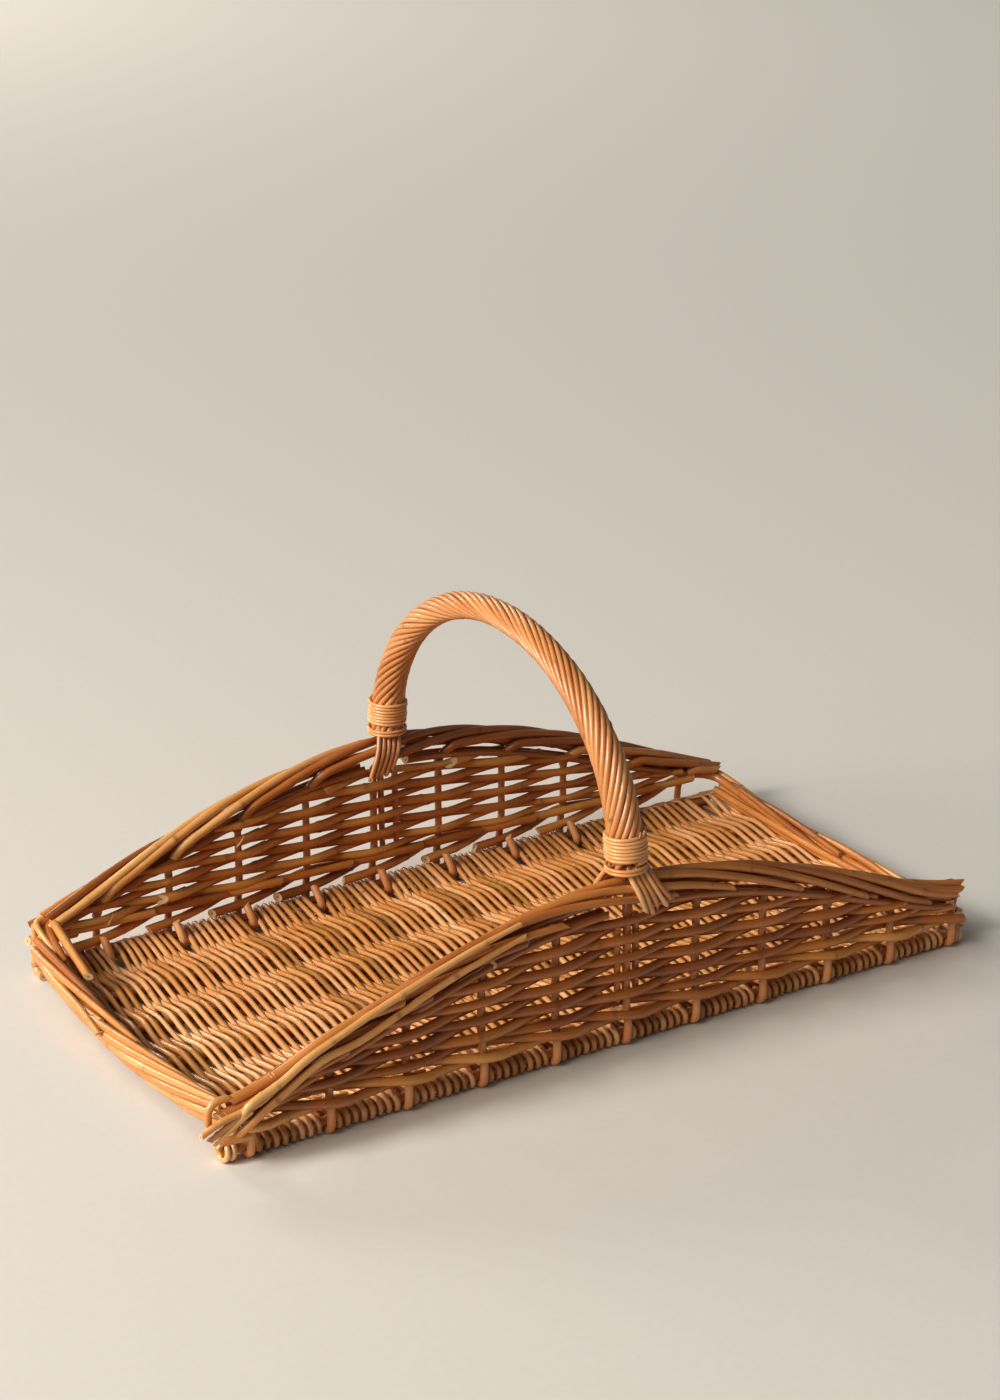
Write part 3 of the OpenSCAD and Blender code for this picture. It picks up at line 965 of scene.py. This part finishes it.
def make_handle_tails(side, word):
    """The ends of the roping, which spread out below the binding on both faces."""
    rods = Rods(520 + side)
    for k in range(TAILS):
        x = -3 + 3.9 * k
        rods.add(
            [(x * 0.8, side * 153.5, 127), (x, side * 157.4, 121.5),
             (x + 3 + 0.3 * k, side * 162.2, 112.5),
             (x + 8 + 1.1 * k, side * 163.4, 98 + 0.8 * k + rods.rng.uniform(-1.5, 1.5))],
            [1.75, 1.8, 1.9, 1.8], sides=10, slant=(0.3, 1.2), buds=0)
        x = -11 + 3.9 * k
        rods.add(
            [(x * 0.8, side * 144, 127), (x, side * 140.4, 121.5),
             (x - 3.5 + 0.2 * k, side * 136, 112.5),
             (x - 11 + 0.5 * k, side * 134.6, 93 + 1.4 * k + rods.rng.uniform(-1.5, 1.5))],
            [1.75, 1.8, 1.9, 1.8], sides=10, slant=(0.3, 1.2), buds=0)
    rods.build(
        "willow_handle_tails_" + word, handle_willow, "handle_willow",
        "handle_tails_" + word)


def make_handle_legs(side, word):
    """The two thin legs of the bow inside the side wall."""
    rods = Rods(530 + side)
    for x in ((-4.6, 7.2) if side > 0 else (-7.2, 7.2)):
        rods.add(
            [(x + 0.5, side * WALL_Y, 34), (x, side * WALL_Y, 60),
             (x - 0.6, side * WALL_Y, border_mid(0) - 11)],
            [2.1, 2.3, 2.4], sides=10, tone=0.4)
    rods.build(
        "willow_handle_legs_" + word, stake_willow, "stake_willow", "handle_legs_" + word)


make_base_weavers()
make_base_sticks()
for side, word in SIDES:
    chooser = random.Random(70 + side)
    # Painted shade: front stakes and border rods get a lower tone cap than the back ones, so the
    # front wall reads darker.
    painted_shade_tone_cap = 0.55 if side < 0 else 0.95
    tones = {i: chooser.uniform(0.05, painted_shade_tone_cap) for i in range(-8, 6)}
    make_stakes(side, word, tones)
    make_foot_rods(side, word)
    for n in range(1, WALL_ROWS + 1):
        make_side_weaver(side, word, n)
    make_border(side, word, tones)
for side, word in ((-1, "left"), (1, "right")):
    make_end_border(side, word)
make_corners()
make_handle_bow()
make_handle_roping()
for side, word in SIDES:
    make_handle_binding(side, word)
    make_handle_tails(side, word)
    make_handle_legs(side, word)


# ---- floor, light and camera ----

def make_floor():
    """A plain pale floor."""
    mesh = bpy.data.meshes.new("floor")
    half = 30.0
    mesh.from_pydata(
        [(-half, -half, 0), (half, -half, 0), (half, half, 0), (-half, half, 0)], [],
        [(0, 1, 2, 3)])
    material = bpy.data.materials.new("pale_paper")
    material.use_nodes = True
    tree = material.node_tree
    shader = tree.nodes["Principled BSDF"]
    where = node(tree, "ShaderNodeTexCoord")
    fine = node(
        tree, "ShaderNodeTexNoise", [(0, where.outputs["Object"])], in_2=180.0, in_3=3.0)
    tint = node(tree, "ShaderNodeValToRGB", [(0, fine.outputs[0])])
    tint.color_ramp.elements[0].color = linear(221, 217, 210)
    tint.color_ramp.elements[1].color = linear(226, 222, 215)
    tree.links.new(tint.outputs[0], shader.inputs["Base Color"])
    shader.inputs["Roughness"].default_value = 0.9
    shader.inputs["Specular IOR Level"].default_value = 0.2
    mesh.materials.append(material)
    floor = bpy.data.objects.new("floor", mesh)
    bpy.context.scene.collection.objects.link(floor)


LIGHT_COLOUR = (1.0, 0.965, 0.91)


def soft_light(name, place, target, size, watts):
    """A round soft light at a place, turned towards a target."""
    light = bpy.data.lights.new(name, "AREA")
    light.shape = "DISK"
    light.size = size
    light.energy = watts
    light.color = LIGHT_COLOUR
    lamp = bpy.data.objects.new(name, light)
    lamp.location = place
    lamp.rotation_euler = (Vector(target) - Vector(place)).to_track_quat("-Z", "Y").to_euler()
    bpy.context.scene.collection.objects.link(lamp)


make_floor()
soft_light("window_light", (-2.55, 0.3, 1.6), (0, 0, 0), 0.9, 58)
soft_light("backdrop_light", (-1.1, 7.6, 3.0), (3.1, 4.9, 0), 3.0, 260)
sky = bpy.data.lights.new("sky_light", "SUN")
sky.energy = 1.9
sky.angle = math.radians(35)
sky.color = LIGHT_COLOUR
sky_lamp = bpy.data.objects.new("sky_light", sky)
sky_lamp.rotation_euler = Vector((1.0, 0.15, -0.68)).to_track_quat("-Z", "Y").to_euler()
bpy.context.scene.collection.objects.link(sky_lamp)

world = bpy.data.worlds.new("studio")
bpy.context.scene.world = world
world.use_nodes = True
world.node_tree.nodes["Background"].inputs[0].default_value = (0.90, 0.86, 0.80, 1)
world.node_tree.nodes["Background"].inputs[1].default_value = 0.17

AZIMUTH = math.radians(-32.86)
ELEVATION = math.radians(20.11)
lens = bpy.data.cameras.new("camera")
lens.lens = 73.45
lens.clip_end = 100
camera = bpy.data.objects.new("camera", lens)
camera.location = (-0.9694, -1.5017, 0.8462)
back_way = Vector((
    math.sin(AZIMUTH) * math.cos(ELEVATION), -math.cos(AZIMUTH) * math.cos(ELEVATION),
    math.sin(ELEVATION)))
camera.rotation_euler = (-back_way).to_track_quat("-Z", "Y").to_euler()
bpy.context.scene.collection.objects.link(camera)
bpy.context.scene.camera = camera
bpy.context.scene.view_settings.view_transform = "Standard"
bpy.context.scene.view_settings.exposure = 0.08
bpy.context.scene.view_settings.gamma = 0.88
